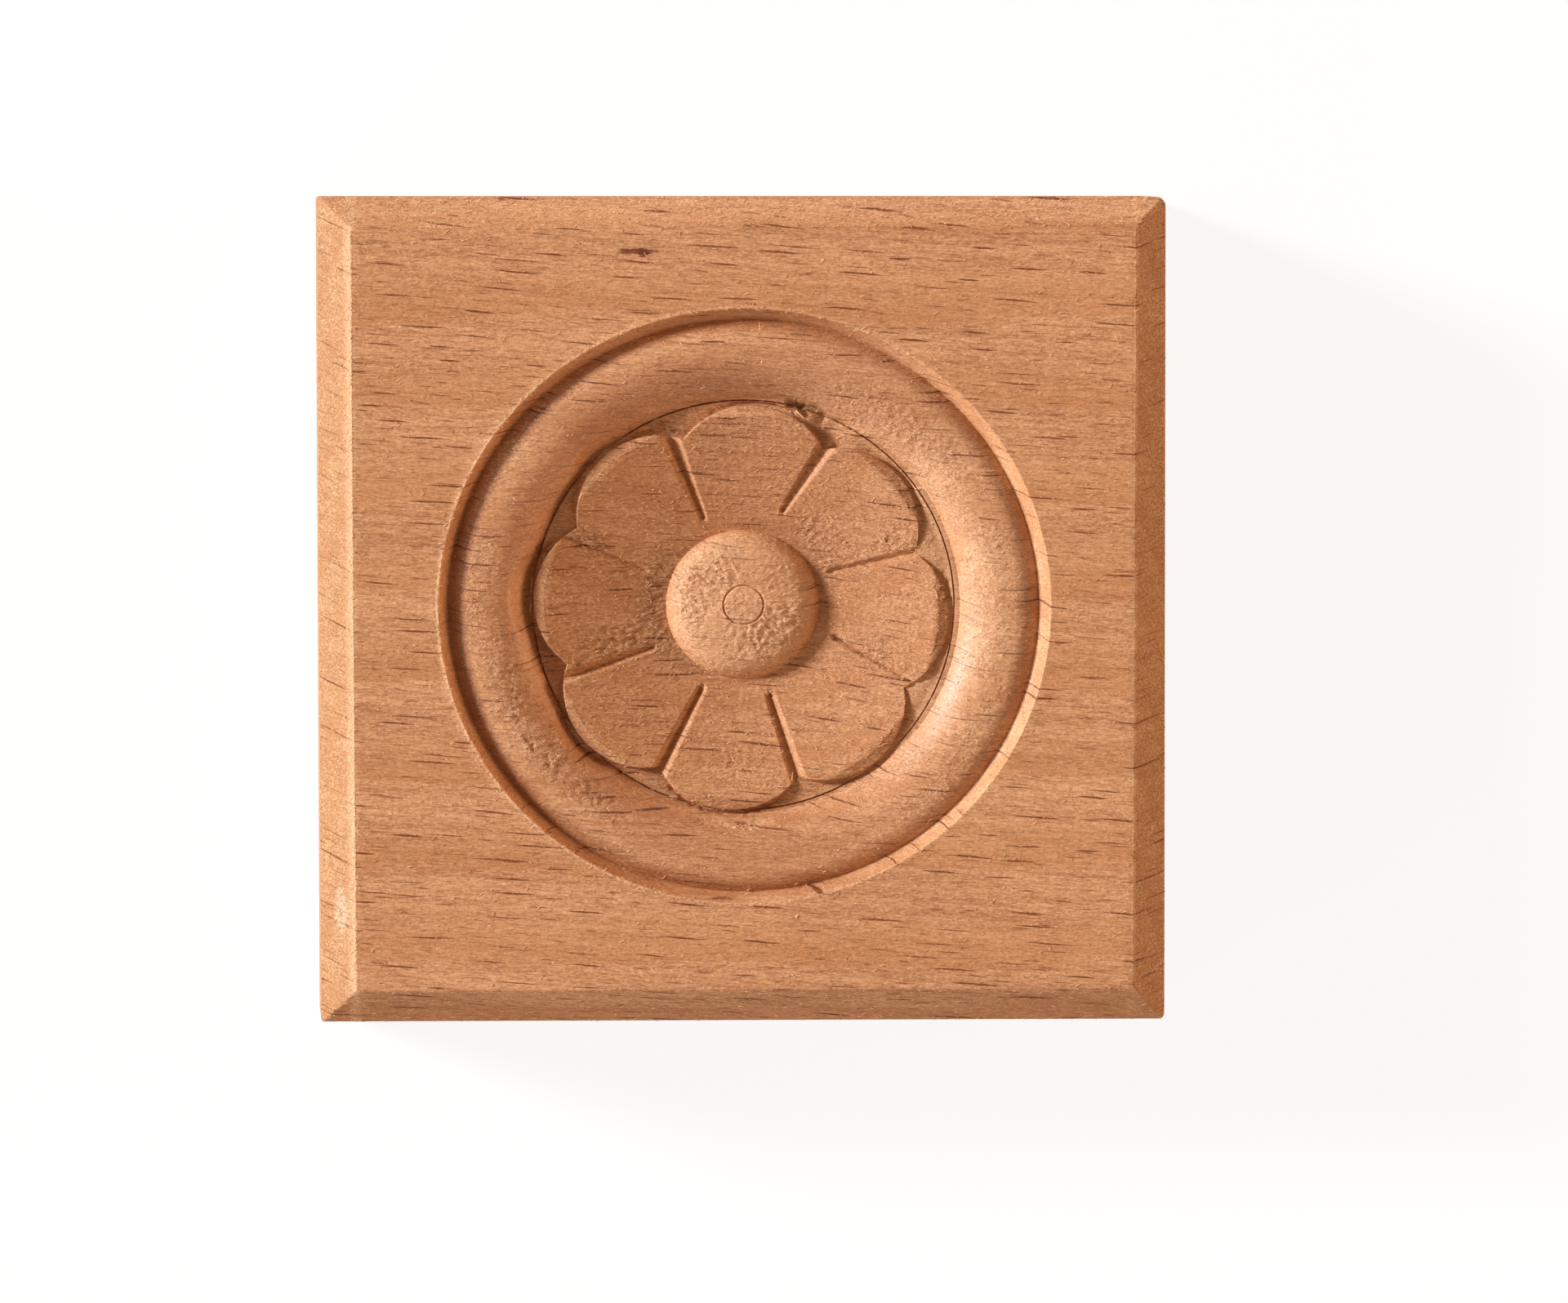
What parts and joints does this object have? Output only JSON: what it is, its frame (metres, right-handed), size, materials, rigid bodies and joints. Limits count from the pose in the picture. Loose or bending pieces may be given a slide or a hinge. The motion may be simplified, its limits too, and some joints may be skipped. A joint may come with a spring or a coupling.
{
  "type": "applique rosette",
  "caption": "Square wooden corner block with bevelled front edges and a petalled flower inside a turned ring, cut into its face; flat back for gluing or pinning.",
  "frame": {"origin": "centre of the flat back face", "axes": "+Z out of the carved face, +X along the grain, +Y across the grain"},
  "size_m": [0.085, 0.0826, 0.02],
  "materials": {
    "beech": "bare, machine cut, unfinished"
  },
  "bodies": {
    "root": {"rosette_block": "beech"}
  },
  "joints": []
}
